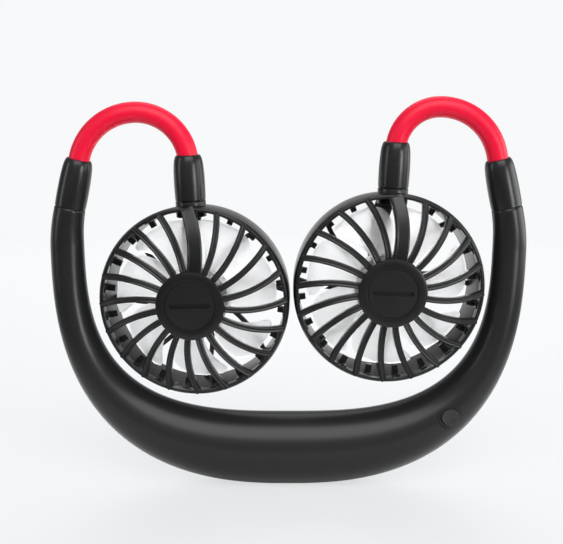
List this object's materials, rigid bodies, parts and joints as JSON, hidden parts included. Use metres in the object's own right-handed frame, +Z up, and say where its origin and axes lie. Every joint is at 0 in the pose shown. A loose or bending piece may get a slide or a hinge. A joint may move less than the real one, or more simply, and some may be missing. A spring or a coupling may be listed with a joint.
{
  "type": "neck fan",
  "caption": "U-shaped neckband with two bendable hoses that each carry a caged fan head, a press button and a charging socket.",
  "frame": {"origin": "middle of the small flat on the underside of the neckband, where it stands", "axes": "+X to the right seen from the front, -Y out of the fans' faces, +Z up the arms"},
  "size_m": [0.18, 0.0286, 0.1495],
  "materials": {
    "shell_plastic": "satin",
    "collar_plastic": "satin gloss",
    "grille_plastic": "satin",
    "button_plastic": "satin",
    "silicone": "matte",
    "blade_plastic": "frosted",
    "steel": "bright",
    "motor_metal": "zinc grey",
    "cell_wrap": "shrink wrap",
    "board_green": "solder mask",
    "switch_plastic": "satin",
    "plunger_plastic": "satin",
    "wire": "satin",
    "felt": "matte"
  },
  "bodies": {
    "neckband": {"front_shell": "shell_plastic", "rear_shell": "shell_plastic", "left_arm_collar": "collar_plastic", "right_arm_collar": "collar_plastic", "left_gooseneck_root": "steel", "right_gooseneck_root": "steel", "battery_cell": "cell_wrap", "control_board": "board_green", "usb_port": "steel", "tact_switch": "switch_plastic", "battery_leads": "wire", "housing_screws": "steel"},
    "button": {"power_button": "button_plastic", "switch_plunger": "plunger_plastic"},
    "left_hose": {"left_gooseneck": "steel", "left_hose_sleeve": "silicone", "left_motor_leads": "wire"},
    "left_stem": {"left_fan_collar": "collar_plastic", "left_gooseneck_tip": "steel"},
    "left_head": {"left_front_grille": "grille_plastic", "left_rear_grille": "grille_plastic", "left_motor": "motor_metal", "left_aroma_pad": "felt"},
    "left_blades": {"left_impeller": "blade_plastic", "left_motor_shaft": "steel"},
    "left_lid": {"left_hub_lid": "grille_plastic"},
    "right_hose": {"right_gooseneck": "steel", "right_hose_sleeve": "silicone", "right_motor_leads": "wire"},
    "right_stem": {"right_fan_collar": "collar_plastic", "right_gooseneck_tip": "steel"},
    "right_head": {"right_front_grille": "grille_plastic", "right_rear_grille": "grille_plastic", "right_motor": "motor_metal", "right_aroma_pad": "felt"},
    "right_blades": {"right_impeller": "blade_plastic", "right_motor_shaft": "steel"},
    "right_lid": {"right_hub_lid": "grille_plastic"}
  },
  "joints": [
    {"name": "button_press", "type": "slide", "parent": "neckband", "child": "button", "axis": [0, 1, 0], "range_m": [0, 0.0005], "stiffness_N_per_m": 900, "springref_m": -0.0004},
    {"name": "left_hose_bend", "type": "hinge", "parent": "neckband", "child": "left_hose", "pos_m": [-0.07789, 0, 0.12645], "axis": [1, 0, 0], "range_deg": [-60, 60], "deforming": ["left_hose_sleeve", "left_motor_leads"]},
    {"name": "left_head_tilt", "type": "hinge", "parent": "left_hose", "child": "left_stem", "pos_m": [-0.03764, 0, 0.12804], "axis": [1, 0, 0], "range_deg": [-60, 60], "deforming": ["left_hose_sleeve", "left_motor_leads"]},
    {"name": "left_head_swivel", "type": "hinge", "parent": "left_stem", "child": "left_head", "pos_m": [-0.035, 0, 0.07382], "axis": [-0.0454, 0, 0.999], "range_deg": [-90, 90], "deforming": ["left_motor_leads"]},
    {"name": "left_fan_spin", "type": "hinge", "parent": "left_head", "child": "left_blades", "pos_m": [-0.035, 0, 0.07382], "axis": [-0.0836, -0.9965, -0.0038], "continuous": true},
    {"name": "left_lid_turn", "type": "hinge", "parent": "left_head", "child": "left_lid", "pos_m": [-0.0363, -0.01545, 0.07376], "axis": [-0.0836, -0.9965, -0.0038], "range_deg": [0, 40]},
    {"name": "right_hose_bend", "type": "hinge", "parent": "neckband", "child": "right_hose", "pos_m": [0.07789, 0, 0.12645], "axis": [1, 0, 0], "range_deg": [-60, 60], "deforming": ["right_hose_sleeve", "right_motor_leads"]},
    {"name": "right_head_tilt", "type": "hinge", "parent": "right_hose", "child": "right_stem", "pos_m": [0.04012, 0, 0.13284], "axis": [1, 0, 0], "range_deg": [-60, 60], "deforming": ["right_hose_sleeve", "right_motor_leads"]},
    {"name": "right_head_swivel", "type": "hinge", "parent": "right_stem", "child": "right_head", "pos_m": [0.03745, 0, 0.07861], "axis": [0.0454, 0, 0.999], "range_deg": [-90, 90], "deforming": ["right_motor_leads"]},
    {"name": "right_fan_spin", "type": "hinge", "parent": "right_head", "child": "right_blades", "pos_m": [0.03745, 0, 0.07861], "axis": [0.0488, -0.9988, -0.0022], "continuous": true},
    {"name": "right_lid_turn", "type": "hinge", "parent": "right_head", "child": "right_lid", "pos_m": [0.03821, -0.01548, 0.07858], "axis": [0.0488, -0.9988, -0.0022], "range_deg": [0, 40]}
  ]
}
